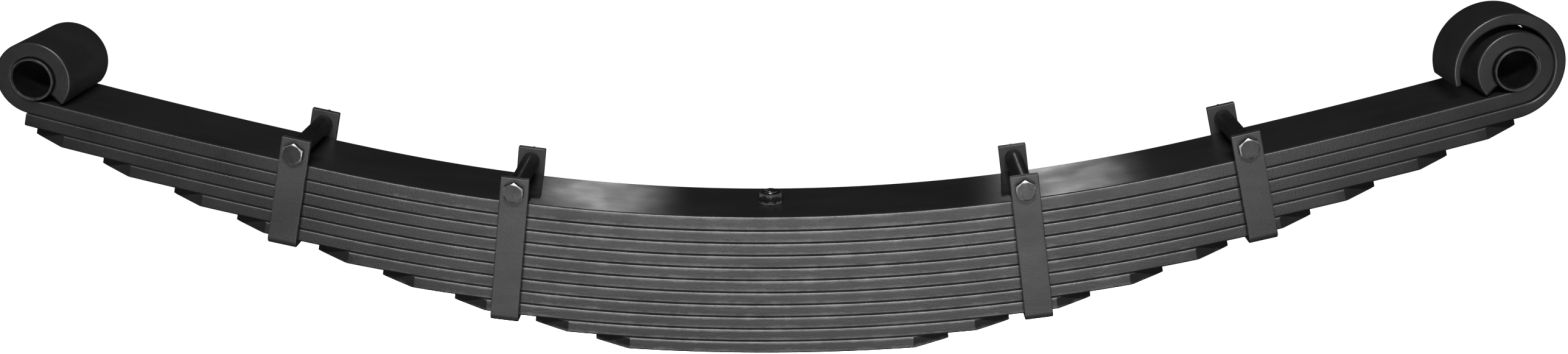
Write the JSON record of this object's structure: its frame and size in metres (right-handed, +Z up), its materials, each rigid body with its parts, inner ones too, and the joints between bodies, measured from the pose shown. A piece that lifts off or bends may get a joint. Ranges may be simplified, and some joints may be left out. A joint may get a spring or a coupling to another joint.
{
  "type": "leaf spring",
  "caption": "Multi-leaf suspension spring with upturned rolled eyes, a wrapped front eye, graduated leaves, bolted rebound clips and a centre bolt.",
  "frame": {"origin": "on the centre bolt's axis at the bottom face of the lowest leaf, where the pack sits on the axle seat", "axes": "+X along the spring to the front eye (the wrapped one), +Y across the leaves to the nuts' side, +Z up, the side the eyes rise to"},
  "size_m": [1.4938, 0.1265, 0.3552],
  "materials": {
    "leaf_paint": "black semi-gloss paint over rolled spring steel, worn at the edges",
    "clip_paint": "dark grey worn paint on bent strap",
    "fastener_steel": "dark oiled steel, rubbed bright on the corners",
    "bush_steel": "dark oiled bush sleeve with a turned end"
  },
  "bodies": {
    "spring": {"leaf_1": "leaf_paint", "leaf_2": "leaf_paint", "leaf_3": "leaf_paint", "leaf_4": "leaf_paint", "leaf_5": "leaf_paint", "leaf_6": "leaf_paint", "leaf_7": "leaf_paint", "leaf_8": "leaf_paint", "leaf_9": "leaf_paint", "leaf_10": "leaf_paint", "leaf_11": "leaf_paint", "front_eye_bush": "bush_steel", "rear_eye_bush": "bush_steel", "centre_bolt": "fastener_steel", "centre_nut": "fastener_steel", "front_outer_clip": "clip_paint", "front_outer_bolt": "fastener_steel", "front_outer_nut": "fastener_steel", "front_outer_rivet": "clip_paint", "front_inner_clip": "clip_paint", "front_inner_bolt": "fastener_steel", "front_inner_nut": "fastener_steel", "front_inner_rivet": "clip_paint", "rear_outer_clip": "clip_paint", "rear_outer_bolt": "fastener_steel", "rear_outer_nut": "fastener_steel", "rear_outer_rivet": "clip_paint", "rear_inner_clip": "clip_paint", "rear_inner_bolt": "fastener_steel", "rear_inner_nut": "fastener_steel", "rear_inner_rivet": "clip_paint"},
    "front_outer_tube_body": {"front_outer_tube": "fastener_steel"},
    "front_inner_tube_body": {"front_inner_tube": "fastener_steel"},
    "rear_outer_tube_body": {"rear_outer_tube": "fastener_steel"},
    "rear_inner_tube_body": {"rear_inner_tube": "fastener_steel"}
  },
  "joints": [
    {"name": "front_outer_tube_spin", "type": "hinge", "parent": "spring", "child": "front_outer_tube_body", "pos_m": [0.458, 0, 0.21639], "axis": [0, 1, 0], "continuous": true},
    {"name": "front_inner_tube_spin", "type": "hinge", "parent": "spring", "child": "front_inner_tube_body", "pos_m": [0.2474, 0, 0.17533], "axis": [0, 1, 0], "continuous": true},
    {"name": "rear_outer_tube_spin", "type": "hinge", "parent": "spring", "child": "rear_outer_tube_body", "pos_m": [-0.458, 0, 0.21639], "axis": [0, 1, 0], "continuous": true},
    {"name": "rear_inner_tube_spin", "type": "hinge", "parent": "spring", "child": "rear_inner_tube_body", "pos_m": [-0.2474, 0, 0.17533], "axis": [0, 1, 0], "continuous": true}
  ]
}
